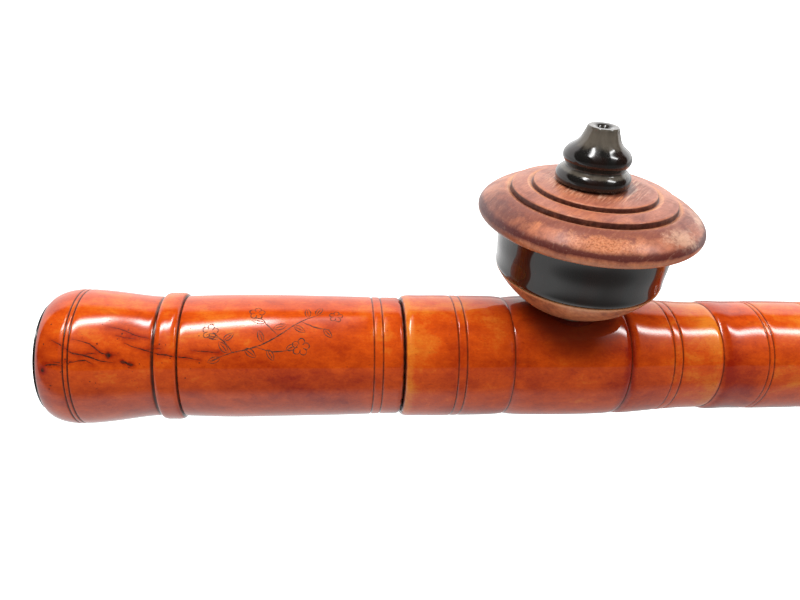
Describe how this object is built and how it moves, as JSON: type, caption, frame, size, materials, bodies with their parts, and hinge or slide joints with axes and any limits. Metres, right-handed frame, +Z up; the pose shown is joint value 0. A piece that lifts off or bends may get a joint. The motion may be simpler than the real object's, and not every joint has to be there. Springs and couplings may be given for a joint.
{
  "type": "long-stemmed smoking pipe",
  "caption": "Straight pipe of turned, stained bone sections with a domed wooden bowl, black horn band, horn finial and horn mouthpiece.",
  "frame": {"origin": "the point under the stem where a stand holds it, close to the balance point", "axes": "+X along the stem towards the mouthpiece, +Z up on the bowl's side, +Y across the stem"},
  "size_m": [0.4383, 0.0606, 0.0901],
  "materials": {
    "stained_bone": "orange-red stained bone, polished and lacquered to a high gloss",
    "plain_bone": "unstained bone, matt",
    "black_horn": "polished black-brown horn",
    "bowl_wood": "red-brown turned wood, satin",
    "dark_wood": "dark oiled wood",
    "gasket_cloth": "wound undyed cotton cloth"
  },
  "bodies": {
    "stem": {"saddle_section": "stained_bone", "ring_section_1": "stained_bone", "ring_section_2": "stained_bone", "ring_section_3": "stained_bone", "ring_section_4": "stained_bone", "long_section": "stained_bone", "mouth_section": "stained_bone", "tenon_1": "plain_bone", "tenon_2": "plain_bone", "tenon_3": "plain_bone", "tenon_4": "plain_bone", "tenon_5": "plain_bone", "tenon_6": "plain_bone", "tenon_7": "plain_bone", "socket_bush": "dark_wood"},
    "tail": {"tail_section": "stained_bone", "tail_plug": "black_horn"},
    "mouthpiece": {"mouthpiece": "black_horn"},
    "gasket": {"bowl_gasket": "gasket_cloth"},
    "bowl": {"bowl_base": "bowl_wood", "bowl_band": "black_horn", "bowl_cap": "bowl_wood"},
    "finial": {"finial": "black_horn"}
  },
  "joints": [
    {"name": "tail_pull_off", "type": "slide", "parent": "stem", "child": "tail", "axis": [-1, 0, 0], "range_m": [0, 0.025]},
    {"name": "mouthpiece_pull_out", "type": "slide", "parent": "stem", "child": "mouthpiece", "axis": [1, 0, 0], "range_m": [0, 0.02]},
    {"name": "bowl_lift", "type": "slide", "parent": "stem", "child": "gasket", "axis": [0, 0, 1], "range_m": [0, 0.03]},
    {"name": "bowl_turn", "type": "hinge", "parent": "gasket", "child": "bowl", "pos_m": [-0.048, 0, 0.035], "axis": [0, 0, 1], "continuous": true},
    {"name": "finial_pull_out", "type": "slide", "parent": "bowl", "child": "finial", "axis": [0, 0, 1], "range_m": [0, 0.016]}
  ]
}
